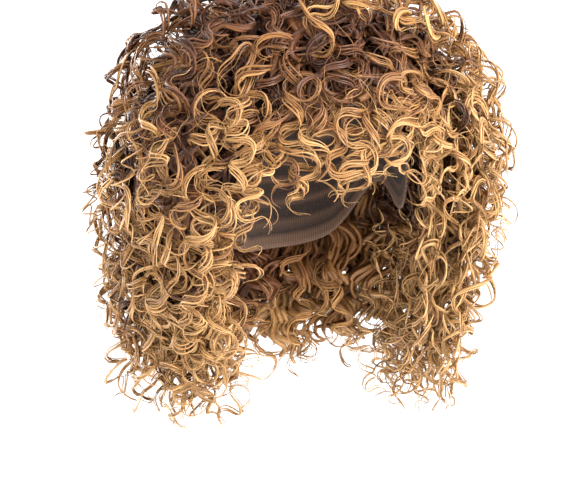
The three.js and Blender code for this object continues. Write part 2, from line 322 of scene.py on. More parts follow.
def hair_place(azimuth, drop, depth):
    """A place in the hair. Depth 0 follows the cap to its widest level and then hangs straight down,
    depth 1 is the outside of the hair, and a depth between them is that share of the way. The outside
    is a ring for each drop, which narrows below the cap by the tuck."""
    inside = cap_point(azimuth, 90 * np.minimum(drop / DROP_AT_WIDEST, 1), CAP_WALL + HAIR_OFF_CAP)
    inside[..., 2] -= np.maximum(drop - DROP_AT_WIDEST, 0) * HANG_LENGTH
    a = np.radians(azimuth)
    front = smooth_through(drop, OUTSIDE_DROP, OUTSIDE_FRONT)
    back = smooth_through(drop, OUTSIDE_DROP, OUTSIDE_BACK)
    x = smooth_through(drop, OUTSIDE_DROP, OUTSIDE_SIDE) * np.sin(a)
    y = -np.where(np.cos(a) > 0, front, back) * np.cos(a)
    z = smooth_through(drop, OUTSIDE_DROP, OUTSIDE_HEIGHT) - np.maximum(drop - 1, 0) * HANG_LENGTH
    tuck = TUCK_IN * rise((drop - TUCK_START) / TUCK_RUN)
    tuck = tuck * rise((TUCK_AZIMUTH - from_front(azimuth)) / TUCK_FADE)
    kept = 1 - tuck * np.where(x > 0, LEFT_TUCK, 1)
    outside = np.stack(np.broadcast_arrays(x * kept, y * kept, z), axis=-1)
    return inside + (outside - inside) * depth[..., None]


def even_steps(lines, steps):
    """The same lines with their points at even distances, and the lines' lengths: each coordinate is
    read off at even shares of the distance gone along its line."""
    stretch = np.linalg.norm(np.diff(lines, axis=1), axis=-1)
    gone = np.concatenate([np.zeros((len(lines), 1)), np.cumsum(stretch, axis=1)], axis=1)
    length = gone[:, -1]
    wanted = length[:, None] * np.linspace(0, 1, steps)
    even = [[np.interp(w, g, axis) for axis in line.T] for line, g, w in zip(lines, gone, wanted)]
    return np.swapaxes(np.array(even), 1, 2), length


def frame_on(line, level):
    """The way along each line, the level way made square to that, which goes across, and the way out
    from both, which is their cross product."""
    along = unit(np.gradient(line, axis=-2))
    across = unit(level - along * (along * level).sum(-1, keepdims=True))
    return along, across, np.cross(along, across)


# How far down the hem is, from the middle of the fringe round to the back.
HEM_AZIMUTH = (0, 24, 43, 59, 76, 180)
HEM_DROP = (0.6, 0.63, 0.7, 0.93, 1, 1)

# The fall of a lock: how its root and its depth are scattered, where it has come out, and how it sways.
LINE_POINTS = 80
ROOT_SCATTER = 0.4
DEPTH_SCATTER = 0.05
COMING_OUT = 0.28
SWAY_PACE = (0.7, 1.2)
SLOW_SWAY = 0.5
SLOW_SWAY_LENGTH = 2.3
SWAY_START = 0.25
TIP_SWAY = 0.4


def hang_lines(rng, row):
    """The lines that a row's locks coil round, and their lengths. A lock's azimuth is its place in the
    row plus a drift, its drop goes from its root's to its tip's, and its depth from the root's to the
    row's by the time that it has come out. Two sine waves, the second slower, then sway it along the
    row and in and out."""
    count = row["locks"]
    share = np.linspace(0, 1, LINE_POINTS)[None, :]
    spot = (np.arange(count) + 0.5 + rng.uniform(-ROOT_SCATTER, ROOT_SCATTER, count))[:, None] / count
    start, end = row["azimuth"]
    azimuth = start + (end - start) * spot + row["drift"] * rng.uniform(-1, 1, (count, 1)) * share
    hem = smooth_through(from_front(azimuth[:, :1]), HEM_AZIMUTH, HEM_DROP)
    root = rng.uniform(*row["root"], (count, 1))
    tip = rng.uniform(*row["tip"], (count, 1)) * hem
    if "reach" in row:
        tip = np.minimum(root + rng.uniform(*row["reach"], (count, 1)), tip)
    come_out = rise(share / COMING_OUT)
    depth = row["depth"][0] + (row["depth"][1] - row["depth"][0]) * come_out
    depth = depth + rng.uniform(-DEPTH_SCATTER, DEPTH_SCATTER, (count, 1)) * come_out
    line = hair_place(azimuth, root + (tip - root) * share, depth)
    longest = even_steps(line, 2)[1].max()
    steps = int(np.ceil(longest / row["pitch"] * row["steps"])) + 1
    line, length = even_steps(line, steps)
    middle = np.radians(azimuth.mean(axis=1))[:, None]
    level = np.stack([np.cos(middle), np.sin(middle), np.zeros_like(middle)], axis=-1)
    _, across, away = frame_on(line, level)
    travel = 2 * np.pi * np.linspace(0, 1, steps)[None, :] * length[:, None] / row["sway_length"]
    gone = travel / travel[:, -1:]
    freedom = rise(gone / SWAY_START) * (1 + TIP_SWAY * gone ** 2)
    for way in (across, away):
        begin = rng.uniform(0, 2 * np.pi, (2, count, 1))
        wave = np.sin(travel * rng.uniform(*SWAY_PACE, (count, 1)) + begin[0])
        wave = wave + SLOW_SWAY * np.sin(travel / SLOW_SWAY_LENGTH + begin[1])
        line = line + way * (row["sway"] * wave * freedom)[..., None]
    return line, length


UP = np.array([0.0, 0.0, 1.0])

# How a lock coils: shares of its length, factors of its row's sizes, radians, and waves in metres.
ROOT_STRETCH = 0.3
PLY_REACH = (0.87, 1.0)
FIBRE_REACH = (0.93, 1.0)
PITCH_SPREAD = (0.85, 1.2)
TIP_TIGHTENS = 0.1
TURN_WANDER = 1.1
RADIUS_WANDER = 0.14
WANDER_LENGTH = 0.09
PLY_LAG = 0.15
LOOSE_LAG = 1.2
LOOSE_START = 0.5
LOOSE_RADIUS = 0.35
RADIUS_SPREAD = (0.85, 1.15)
PLY_RADIUS = (0.84, 1.16)
ROOT_RADIUS = 0.4
ROOT_RUN = 0.15
TIP_START = 0.85
TIP_RUN = 0.15
TIP_NARROWS = 0.3
FIBRE_WAVER = 0.0004
FIBRE_WAVER_LENGTH = 0.04
RIBBON_SWELL = 0.34
RIBBON_SWELL_LENGTH = 0.05
RIBBON_REACH = 1.3
RIBBON_DEPTH = 0.45
TWIST_LENGTH = 0.15
PLY_GAP = 0.7
PLY_GAP_SWELL = 0.5
PLY_GAP_LENGTH = 0.07
PLY_DRIFT = 0.4
PLY_DRIFT_LENGTH = 0.05
PLIES_MEET = 0.65
MEET_START = 0.65
MEET_RUN = 0.35
BAND_NARROWS = 0.5

# How a strand thins out at its root and its tip.
ROOT_THIN = 0.55
ROOT_THIN_RUN = 0.08
TIP_THIN = 0.7
TIP_THIN_START = 0.8
TIP_THIN_RUN = 0.2
FIBRE_WIDTHS = (0.75, 1.25)
CORE_TAPER = 0.75
CORE_ROUNDNESS = 0.6


def coil_fibres(rng, row, line, length):
    """The middle lines of a row's fibres, the way that each faces, its shares of the lock, and its half
    sizes. A lock's plies go round its line once for each pitch, side by side, and draw together at the
    tip. A turn is an ellipse, drawn out into an S by its meander and leaning by its tilt. A ply is a
    ribbon that slowly swells and narrows, with fibres that twist round its core, and a loose fibre
    takes a wider or tighter turn, and lags. In a flat layer the fibres lie side by side across the line
    instead, and wave together."""
    locks, steps, _ = line.shape
    plies = row["plies"]
    fibres = plies * row["fibres"]
    per_lock = (locks, 1, 1)
    per_fibre = (locks, fibres, 1)

    def by_ply(low, high):
        """A random value between two limits for each ply, which all of its fibres share."""
        return np.repeat(rng.uniform(low, high, (locks, plies, 1)), row["fibres"], axis=1)

    def slow_wave(wave_length, start):
        """A sine of the distance along the lock, with its start in turns."""
        return np.sin(2 * np.pi * (distance / wave_length + start))

    # How far along the lock each point is, with the points further apart near the root.
    is_core = (np.arange(fibres) % row["fibres"] == 0)[None, :, None] & (row["core"] > 0)
    share = np.linspace(0, 1, steps)
    share = share * (1 + ROOT_STRETCH * (1 - share))
    ends = by_ply(*PLY_REACH) * np.where(is_core, 1, rng.uniform(*FIBRE_REACH, per_fibre))
    at = share * ends
    distance = at * length[:, None, None]
    at_tip = rise((at - TIP_START) / TIP_RUN)

    # The angle that it has turned, to one hand or the other.
    hand = rng.choice((-1, 1), per_lock)
    turns = distance / (row["pitch"] * rng.uniform(*PITCH_SPREAD, per_lock))
    turn = 2 * np.pi * (turns * (1 + TIP_TIGHTENS * at ** 3) + rng.uniform(0, 1, per_lock))
    turn = turn + TURN_WANDER * slow_wave(WANDER_LENGTH, rng.uniform(0, 1, per_lock))
    loose = np.where(is_core, 0, rng.uniform(0, 1, per_fibre) < row["loose"])
    turn = turn + by_ply(-PLY_LAG, PLY_LAG)
    turn = hand * (turn + loose * rng.uniform(-LOOSE_LAG, LOOSE_LAG, per_fibre) * rise(at / LOOSE_START))

    # The radius of its turn, smaller at the root and at the tip.
    radius = row["radius"] * rng.uniform(*RADIUS_SPREAD, per_lock) * by_ply(*PLY_RADIUS)
    radius = radius * (ROOT_RADIUS + (1 - ROOT_RADIUS) * rise(at / ROOT_RUN))
    radius = radius * (1 + RADIUS_WANDER * slow_wave(WANDER_LENGTH, rng.uniform(0, 1, per_lock)))
    radius = radius * (1 - TIP_NARROWS * at_tip)
    radius = radius * (1 + loose * rng.uniform(-LOOSE_RADIUS, LOOSE_RADIUS, per_fibre))
    radius = radius + FIBRE_WAVER * slow_wave(FIBRE_WAVER_LENGTH, rng.uniform(0, 1, per_fibre))

    # Its place in the ply, and its shift along the lock, by the ply, that place, the meander and tilt.
    swell = RIBBON_SWELL * slow_wave(RIBBON_SWELL_LENGTH, by_ply(0, 1))
    width = row["ribbon"] * (1 - RIBBON_SWELL + swell) * (1 - TIP_NARROWS * at_tip)
    place = np.where(is_core, 0, RIBBON_REACH * np.sqrt(rng.uniform(0, 1, per_fibre)))
    twist = 2 * np.pi * (rng.uniform(0, 1, per_fibre) + hand * distance / TWIST_LENGTH)
    order = np.linspace(-1, 1, plies) if plies > 1 else np.zeros(1)
    order = np.repeat(order, row["fibres"])[None, :, None]
    gap = PLY_GAP + PLY_GAP_SWELL * slow_wave(PLY_GAP_LENGTH, by_ply(0, 1))
    shift = row["apart"] * (order * gap + PLY_DRIFT * slow_wave(PLY_DRIFT_LENGTH, by_ply(0, 1)))
    shift = shift * (1 - PLIES_MEET * rise((at - MEET_START) / MEET_RUN))
    shift = shift + width * place * np.cos(twist)
    meander = rng.uniform(*row["meander"], per_lock) * row["pitch"] / (4 * np.pi)
    shift = shift + meander * hand * np.sin(2 * turn)
    shift = shift + rng.uniform(*row["tilt"], per_lock) * radius * np.sin(turn)
    radius = radius + RIBBON_DEPTH * width * place * np.sin(twist)
    if row["flat"]:
        shift = row["ribbon"] * np.linspace(-1, 1, fibres)[None, :, None] * (1 - BAND_NARROWS * at)

    # The lock's line and its three ways, carried to each point, and the point itself.
    low = np.minimum((at * (steps - 1)).astype(int), steps - 2)
    part = (at * (steps - 1) - low)[..., None]

    def carried(values):
        """Values along the lock's line, read off at each fibre's own points."""
        lower = np.take_along_axis(values[:, None], low[..., None], axis=2)
        upper = np.take_along_axis(values[:, None], low[..., None] + 1, axis=2)
        return lower + (upper - lower) * part

    level = unit(np.cross(UP, line.mean(axis=-2, keepdims=True)))
    along, across, away = (carried(way) for way in frame_on(line, level))
    deep = rng.uniform(*row["round"], per_lock)[..., None]
    out = np.cos(turn)[..., None] * across + np.sin(turn)[..., None] * deep * away
    sideways = shift[..., None] * (across if row["flat"] else along)
    path = carried(line) + sideways + radius[..., None] * out

    # Its half sizes, thinner at the root and at the tip.
    taper = ROOT_THIN + (1 - ROOT_THIN) * rise(at / ROOT_THIN_RUN)
    taper = taper * (1 - TIP_THIN * rise((at - TIP_THIN_START) / TIP_THIN_RUN))
    half_width = row["half_width"] * taper * rng.uniform(*FIBRE_WIDTHS, per_fibre)
    half_width = np.where(is_core, row["core"] * width * (1 - CORE_TAPER * at_tip), half_width)
    core_thickness = np.where(is_core, CORE_ROUNDNESS * half_width, 0)
    half_thickness = np.maximum(row["half_thickness"] * taper, core_thickness)
    return path, (away if row["flat"] else out), at, half_width, half_thickness


# A strand is a tube of three sides, because there are thousands of them.
STRAND_SIDES = 3
RING_ANGLES = 2 * np.pi * np.arange(STRAND_SIDES) / STRAND_SIDES + np.pi / 2


def sweep(path, facing, half_width, half_thickness):
    """A tube round each path: at every step a ring of points on an ellipse, which is thin along the
    facing way and wide across both that and the path."""
    along = unit(np.gradient(path, axis=-2))
    wide = unit(np.cross(along, facing))
    thick = np.cross(wide, along)
    ring = (half_width[..., None] * np.cos(RING_ANGLES))[..., None] * wide[..., None, :]
    ring = ring + (half_thickness[..., None] * np.sin(RING_ANGLES))[..., None] * thick[..., None, :]
    return path[..., None, :] + ring


# The dye, from the brown of the roots to the blonde of the ends, and how it varies by lock and fibre, with
# painted light that makes the wearer's left more blonde.
DYE_STOPS = (0.0, 0.55, 1.0, 1.35, 2.2)
DYE_COLOURS = ((70, 42, 29), (115, 75, 49), (155, 112, 67), (181, 138, 84), (196, 156, 103))
FIBRE_UNEVEN = 0.1
# Painted light on the wearer's left: the locks there are made more blonde, by more the further out they
# hang.
LEFT_PAINTED_LIGHT = 8
PAINTED_LIGHT_RUN = 0.5
LOCK_TONES = (0.88, 1.1)
FIBRE_TONES = (0.76, 1.16)
DARK_SHARE = 0.22
DARK_TONE = 0.62
RIPPLE = 0.1
RIPPLE_TURN = 40
RIPPLE_START = 6
# The power turns the darker tones, the painted shade among them, redder, and the lighter ones paler.
TONE_WARMTH = (0.88, 1.06, 1.25)


def dye(rng, row, at, line):
    """Each fibre's colour along its length: brown at the root, through gold to blonde. Its place in the
    colours is its share of the lock over the share that is brown, with an uneven start for each lock
    and fibre. On the wearer's left it moves on to the blonde, by more the further out the lock hangs:
    painted light on that side. The colour is then multiplied by a tone of each lock and fibre, with a
    ripple and the row's painted shade, raised to a power that is highest for blue, so that the painted
    shade turns redder."""
    locks, fibres, _ = at.shape
    per_fibre = (locks, fibres, 1)
    start = rng.normal(0, row["uneven"], (locks, 1, 1)) + rng.normal(0, FIBRE_UNEVEN, per_fibre)
    left_painted_light = LEFT_PAINTED_LIGHT * np.maximum(line[:, :, 0].mean(axis=1), 0)[:, None, None]
    along = (at + start) / row["brown"] + left_painted_light * rise(at / PAINTED_LIGHT_RUN)
    stops = paint(DYE_COLOURS)
    colour = np.stack([np.interp(along, DYE_STOPS, channel) for channel in stops.T], axis=-1)
    # The row's painted shade darkens the colour here, for the shade under the outer locks.
    tone = rng.uniform(*LOCK_TONES, (locks, 1, 1)) * rng.uniform(*FIBRE_TONES, per_fibre) * row["painted_shade"]
    tone = np.where(rng.uniform(0, 1, per_fibre) < DARK_SHARE, DARK_TONE * tone, tone)
    tone = tone * (1 + RIPPLE * np.sin(at * RIPPLE_TURN + rng.uniform(0, RIPPLE_START, per_fibre)))
    return colour * tone[..., None] ** np.array(TONE_WARMTH)


def strand_faces(strands, steps):
    """The corners of the tubes' side faces, four each, from one ring to the next, then of their end
    faces, which are one ring each."""
    ring = (np.arange(strands)[:, None, None] * steps + np.arange(steps)[None, :, None]) * STRAND_SIDES
    at = ring + np.arange(STRAND_SIDES)
    beside = ring + (np.arange(STRAND_SIDES) + 1) % STRAND_SIDES
    walls = np.stack([at[:, :-1], at[:, 1:], beside[:, 1:], beside[:, :-1]], axis=-1)
    ends = np.stack([at[:, 0], at[:, -1, ::-1]], axis=1)
    return walls.reshape(-1, 4), ends.reshape(-1, STRAND_SIDES)


# The strip of the flat map that each strand has, in columns side by side, for its colours to be baked on.
BAKE_COLUMNS = 2
BAKE_MARGIN = 0.002
STRIP_ENDS = 0.01
STRIP_EDGES = 0.04
DISC_FILL = 0.4


def strand_map(strands, steps, first, total):
    """Flat places for the corners of strand_faces: each strand has a strip of its own, with its length
    along the strip, its sides stacked across it, and its end faces as small discs at the two ends of
    the strip."""
    rows = -(-total // BAKE_COLUMNS)
    number = first + np.arange(strands)
    left = (number // rows) / BAKE_COLUMNS + BAKE_MARGIN
    wide = 1 / BAKE_COLUMNS - 2 * BAKE_MARGIN
    low = (number % rows) / rows
    tall = 1 / rows
    along = STRIP_ENDS + (1 - 2 * STRIP_ENDS) * np.linspace(0, 1, steps)
    across = STRIP_EDGES + (1 - 2 * STRIP_EDGES) * np.arange(STRAND_SIDES + 1) / STRAND_SIDES
    u = left[:, None, None] + wide * along[None, :, None]
    v = low[:, None, None] + tall * across[None, None, :]
    spot = np.stack(np.broadcast_arrays(u, v), axis=-1)
    walls = np.stack([spot[:, :-1, :-1], spot[:, 1:, :-1], spot[:, 1:, 1:], spot[:, :-1, 1:]], axis=3)
    turn = 2 * np.pi * np.arange(STRAND_SIDES) / STRAND_SIDES
    disc = DISC_FILL * np.stack([STRIP_ENDS * wide * np.cos(turn), tall * np.sin(turn)], axis=-1)
    near = np.stack([left + STRIP_ENDS / 2 * wide, low + tall / 2], axis=-1)[:, None, :]
    far = near + np.array([(1 - STRIP_ENDS) * wide, 0.0])
    ends = np.stack([near + disc, far + disc[::-1]], axis=1)
    return walls.reshape(-1, 2), ends.reshape(-1, 2)


# The fine streaks along a strand.
STREAK_DARK = (0.6, 0.44, 0.31)
STREAK_LIGHT = (1.14, 1.2, 1.3)
STREAK_RANGE = (0.3, 0.7)
STREAK_FINENESS = 0.6
STREAK_ROUGHNESS = (-0.1, 0.12)
STREAK_RELIEF = 0.0003
STREAK_RELIEF_STRENGTH = 0.35
STREAK_WIDTH = 0.0008
STREAKS_ALONG = 30
STREAK_SPREAD = 100


def hair_fibre(name, roughness, shine):
    """Hair: the dyed colour times a tint that goes from dark to light with the fine streaks along each
    strand. The same streaks change its roughness and are its relief, and the shine is how much light it
    mirrors."""
    material, tree, shader, add = new_material(name)
    colour = add("ShaderNodeAttribute", attribute_name="dye").outputs["Color"]
    fibre = add("ShaderNodeAttribute", attribute_name="fibre").outputs["Vector"]
    streak_sockets = {"Vector": fibre, "Scale": 1.0, "Detail": 3.0, "Roughness": STREAK_FINENESS}
    streaks = add("ShaderNodeTexNoise", streak_sockets).outputs["Fac"]
    tone_sockets = {"Value": streaks, "From Min": STREAK_RANGE[0], "From Max": STREAK_RANGE[1]}
    tone = add("ShaderNodeMapRange", tone_sockets).outputs["Result"]
    tint_sockets = {"Factor": tone, "A": (*STREAK_DARK, 1), "B": (*STREAK_LIGHT, 1)}
    tint = add("ShaderNodeMix", tint_sockets, data_type="RGBA").outputs["Result"]
    streaked = add("ShaderNodeVectorMath", {0: colour, 1: tint}, operation="MULTIPLY")
    tree.links.new(streaked.outputs["Vector"], shader.inputs["Base Color"])
    smoothest, roughest = (roughness + change for change in STREAK_ROUGHNESS)
    rough = add("ShaderNodeMapRange", {"Value": streaks, "To Min": smoothest, "To Max": roughest})
    tree.links.new(rough.outputs["Result"], shader.inputs["Roughness"])
    bump_sockets = {"Height": streaks, "Strength": STREAK_RELIEF_STRENGTH, "Distance": STREAK_RELIEF}
    bump = add("ShaderNodeBump", bump_sockets)
    tree.links.new(bump.outputs["Normal"], shader.inputs["Normal"])
    shader.inputs["Specular IOR Level"].default_value = shine
    return material


def sew_section(name, node, material, seed, rows):
    """One section of hair: every row's locks are hung, coiled, dyed and swept into strands, and all of
    them are joined into one piece that stands for the section's solid. A strand's streaks go by its
    distance along the lock, its place round the strand, and a number of its own."""
    rng = np.random.default_rng(seed)
    total = sum(row["locks"] * row["plies"] * row["fibres"] for row in rows)
    vertices, colours, fibres, walls, ends = [], [], [], [], []
    first = 0
    base = 0
    for row in rows:
        line, length = hang_lines(rng, row)
        path, facing, at, half_width, half_thickness = coil_fibres(rng, row, line, length)
        colour = dye(rng, row, at, line)
        own = rng.uniform(0, STREAK_SPREAD, at.shape[:2])[..., None, None]
        around = np.cos(RING_ANGLES) * half_width[..., None] / STREAK_WIDTH
        along = (at * length[:, None, None])[..., None] * STREAKS_ALONG
        fibres.append(np.stack(np.broadcast_arrays(own + around, along, own), axis=-1).reshape(-1, 3))
        vertices.append(sweep(path, facing, half_width, half_thickness).reshape(-1, 3))
        colours.append(np.repeat(colour.reshape(-1, 3), STRAND_SIDES, axis=0))
        strands = at.shape[0] * at.shape[1]
        steps = at.shape[2]
        wall, end = strand_faces(strands, steps)
        wall_map, end_map = strand_map(strands, steps, first, total)
        walls.append((wall + base, wall_map))
        ends.append((end + base, end_map))
        first += strands
        base += len(vertices[-1])
    faces = walls + ends
    corners = np.concatenate([face.ravel() for face, _ in faces])
    sizes = np.concatenate([np.full(len(face), face.shape[1]) for face, _ in faces])
    piece = new_piece(name, np.concatenate(vertices), corners, sizes, material)
    dyed = np.concatenate(colours)
    add_values(piece, "dye", "FLOAT_COLOR", np.concatenate([dyed, np.ones((len(dyed), 1))], axis=1))
    add_values(piece, "fibre", "FLOAT_VECTOR", np.concatenate(fibres))
    flat = piece.data.uv_layers.new(name="OFBake")
    spots = np.concatenate([spot for _, spot in faces])
    flat.uv.foreach_set("vector", spots.astype(np.float32).ravel())
    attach(piece, "root")
    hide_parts(node)


BROWN_HAIR = hair_fibre("brown_hair", roughness=0.4, shine=0.22)
sew_section("nape_curls", "nape_hair", BROWN_HAIR, seed=11, rows=[
    # Painted shade darkens these inner rows.
    dict(BAND, locks=8, azimuth=(124, 236), root=(0.5, 0.52), tip=(0.76, 0.84), depth=(0.06, 0.12),
         fibres=9, half_width=0.002, half_thickness=0.0011),
    dict(LOCK, locks=12, azimuth=(124, 236), root=(0.54, 0.58), tip=(0.86, 0.97), depth=(0.12, 0.16),
         steps=9, brown=0.8, radius=0.008, painted_shade=0.9),
])


# The back hair: the rows from ear to ear over the back of the cap, of fibre dyed from brown to blonde.
# The wefts are sewn one above the other, so that the lower rows lie under the upper ones, and all of
# them end near the hem.
BLONDE_HAIR = hair_fibre("blonde_hair", roughness=0.36, shine=0.36)
# A short round curl at the hem.
END_CURL = dict(
    LOCK, plies=4, ribbon=0.0013, apart=0.0026, radius=0.0086, pitch=0.023, brown=0.16, uneven=0.2,
    round=(0.6, 1.1), meander=(0, 0.3), tilt=(0.3, 0.8), steps=12,
)
# A thin ringlet at the outline.
WISP = dict(
    LOCK, plies=1, fibres=2, radius=0.0058, pitch=0.015, ribbon=0.0007, core=0.0, loose=0.1, sway=0.005,
    half_width=0.0006, half_thickness=0.0005, round=(0.8, 1.1), meander=(0, 0), tilt=(0.3, 0.8),
)
# A single loose hair.
FRIZZ = dict(
    LOCK, drift=14, sway=0.007, sway_length=0.06, radius=0.003, pitch=0.026, round=(1, 1),
    meander=(0, 0), tilt=(-0.5, 0.5), steps=8, plies=1, apart=0.0, ribbon=0.0, core=0.0, loose=1.0,
    half_width=0.00026, half_thickness=0.00022, brown=0.5, uneven=0.2,
)
sew_section("back_curls", "back_hair", BLONDE_HAIR, seed=12, rows=[
    # Painted shade darkens the flat layers and the inner rows of locks.
    dict(BAND, locks=12, azimuth=(117, 243), root=(0.24, 0.28), tip=(0.84, 0.9), depth=(0.12, 0.4),
         ribbon=0.017),
    dict(BAND, locks=4, azimuth=(117, 150), root=(0.44, 0.48), tip=(0.86, 0.92), depth=(0.3, 0.56),
         ribbon=0.017, brown=0.6, painted_shade=0.75),
    dict(BAND, locks=10, azimuth=(150, 243), root=(0.44, 0.48), tip=(0.92, 0.97), depth=(0.3, 0.56),
         ribbon=0.017, brown=0.55, painted_shade=0.75),
    dict(BAND, locks=15, azimuth=(114, 246), root=(0.3, 0.34), tip=(0.64, 0.76), depth=(0.4, 0.72),
         ribbon=0.017, brown=0.9, painted_shade=0.72),
    dict(LOCK, locks=9, azimuth=(118, 242), root=(0.54, 0.58), tip=(0.9, 1.0), depth=(0.25, 0.5),
         plies=4, steps=9, brown=0.5, painted_shade=0.9),
    dict(LOCK, locks=13, azimuth=(117, 243), root=(0.42, 0.48), tip=(0.92, 1.0), depth=(0.45, 0.7),
         plies=4, steps=9, brown=0.4, painted_shade=0.95),
    dict(LOCK, locks=15, azimuth=(113, 247), root=(0.32, 0.4), tip=(0.88, 1.0), depth=(0.5, 0.86),
         plies=7, apart=0.004, steps=9, brown=0.28, uneven=0.16),
    dict(END_CURL, locks=19, azimuth=(117, 243), root=(0.62, 0.72), tip=(0.87, 0.97), depth=(0.5, 0.78),
         steps=9),
    dict(WISP, locks=6, azimuth=(115, 245), root=(0.4, 0.55), tip=(0.8, 0.95), depth=(0.8, 0.95),
         reach=(0.25, 0.35)),
    dict(FRIZZ, locks=42, azimuth=(113, 247), root=(0.3, 0.75), tip=(0.9, 0.92), depth=(0.6, 0.92),
         reach=(0.12, 0.28)),
])


# The side hair: the rows over and before each ear, of the same fibre, sewn to the cap from the inside
# out, which hang beside the front opening. The left one is thinner and more open than the right: it
# has fewer flat layers under its locks, more locks that hang free, and more ends that dangle.
SIDES = (
    dict(
        name="side_curls_right", node="side_hair_right", seed=13, side=-1,
        middle=9, outer=14, free=3, bands=8, ends=12, dangles=10, inner_dangles=3, frizz=36,
        band_tip=(0.76, 0.86), shortest=0.88, free_depth=(0.6, 0.94), dangle_root=(0.6, 0.66),
    ),
    dict(
        name="side_curls_left", node="side_hair_left", seed=14, side=1,
        middle=8, outer=12, free=10, bands=3, ends=8, dangles=20, inner_dangles=10, frizz=18,
        band_tip=(0.7, 0.78), shortest=0.76, free_depth=(0.6, 1.02), dangle_root=(0.5, 0.6),
    ),
)
# A long loose lock that hangs past the curls of the hem.
DANGLE = dict(
    END_CURL, brown=0.12, radius=0.0085, pitch=0.029, round=(0.1, 0.5), meander=(0.1, 0.6),
    tilt=(-0.2, 0.2), steps=13,
)
for made in SIDES:
    side = made["side"]
    sew_section(made["name"], made["node"], BLONDE_HAIR, seed=made["seed"], rows=[
        # Painted shade darkens the flat layers and the middle row of locks.
        dict(BAND, locks=8, azimuth=(side * 77, side * 117), root=(0.24, 0.28), tip=made["band_tip"],
             depth=(0.12, 0.42), brown=0.9, painted_shade=0.75),
        dict(BAND, locks=8, azimuth=(side * 64, side * 120), root=(0.3, 0.36), tip=(0.6, 0.74),
             depth=(0.3, 0.66), brown=1.1, painted_shade=0.78),
        dict(LOCK, locks=8, azimuth=(side * 58, side * 113), root=(0.52, 0.56), tip=(0.88, 1.0),
             depth=(0.16, 0.3), plies=3, steps=9, brown=0.25, radius=0.0085),
        dict(LOCK, locks=made["middle"], azimuth=(side * 52, side * 115), root=(0.42, 0.48),
             tip=(0.92, 1.02), depth=(0.35, 0.6), plies=5, steps=10, brown=0.42, painted_shade=0.95),
        dict(LOCK, locks=made["outer"], azimuth=(side * 42, side * 117), root=(0.34, 0.42),
             tip=(made["shortest"], 1.0), depth=(0.5, 0.86), apart=0.004, brown=0.31, uneven=0.18),
        dict(LOCK, locks=made["free"], azimuth=(side * 36, side * 92), root=(0.3, 0.38),
             tip=(0.72, 0.9), reach=(0.28, 0.36), depth=made["free_depth"],
             plies=3, brown=0.36, uneven=0.2),
        dict(LOCK, locks=4, azimuth=(side * 40, side * 58), root=(0.36, 0.42), tip=(0.9, 1.0),
             depth=(0.4, 0.7), brown=0.34, uneven=0.2),
        dict(BAND, locks=made["bands"], azimuth=(side * 72, side * 116), root=(0.56, 0.6),
             tip=(0.92, 0.97), depth=(0.3, 0.5), brown=0.35, uneven=0.2, painted_shade=0.72),
        dict(END_CURL, locks=made["ends"], azimuth=(side * 56, side * 115), root=(0.62, 0.7),
             tip=(0.9, 1.0), depth=(0.5, 0.76)),
        dict(DANGLE, locks=made["dangles"], azimuth=(side * 58, side * 108), root=made["dangle_root"],
             tip=(1.0, 1.035), depth=(0.3, 0.66), plies=3),
        dict(DANGLE, locks=made["inner_dangles"], azimuth=(side * 76, side * 117), root=(0.58, 0.64),
             tip=(0.92, 1.035), depth=(0.15, 0.36), plies=2),
        dict(WISP, locks=8, azimuth=(side * 50, side * 115), root=(0.4, 0.55), tip=(0.8, 0.95),
             reach=(0.25, 0.35), depth=(0.8, 0.95)),
        dict(FRIZZ, locks=made["frizz"], azimuth=(side * 47, side * 115), root=(0.3, 0.75),
             tip=(0.9, 0.92), reach=(0.12, 0.28), depth=(0.6, 0.93)),
    ])


# The fringe: short locks of the same fibre sewn along the front hairline, which fall forwards over the
# edge of the cap and thin out to single curls. The last row hangs close to the cap at the wearer's left
# temple, beside the opening.
sew_section("fringe_curls", "fringe_hair", BLONDE_HAIR, seed=15, rows=[
    # Painted shade darkens the flat layer under the fringe.
    dict(BAND, locks=9, azimuth=(-50, 50), root=(0.14, 0.18), tip=(0.7, 0.74), depth=(0.12, 0.42),
         brown=1.4),
    dict(LOCK, locks=14, azimuth=(-44, 44), root=(0.26, 0.32), tip=(0.88, 1.02), depth=(0.25, 0.44),
         brown=0.5, radius=0.0085, pitch=0.029, steps=14),
    dict(LOCK, locks=17, azimuth=(-52, 52), root=(0.24, 0.3), tip=(0.84, 1.0), depth=(0.4, 0.58),
         reach=(0.38, 0.44), plies=7, apart=0.004, brown=0.55, steps=14),
    dict(LOCK, locks=11, azimuth=(-56, 56), root=(0.17, 0.22), tip=(0.66, 0.84), depth=(0.4, 0.68),
         brown=0.78, uneven=0.25, radius=0.0108, pitch=0.034, ribbon=0.0016),
    dict(WISP, locks=6, azimuth=(-46, 46), root=(0.3, 0.4), tip=(0.9, 1.06), depth=(0.5, 0.6),
         radius=0.007, pitch=0.024),
    dict(FRIZZ, locks=60, azimuth=(-46, 46), root=(0.25, 0.45), tip=(0.9, 1.0), depth=(0.5, 0.66),
         reach=(0.1, 0.25)),
    dict(LOCK, locks=7, azimuth=(48, 68), root=(0.36, 0.42), tip=(0.74, 0.88), depth=(0.1, 0.22),
         plies=5, brown=0.26, uneven=0.2, round=(0.15, 0.5)),
])


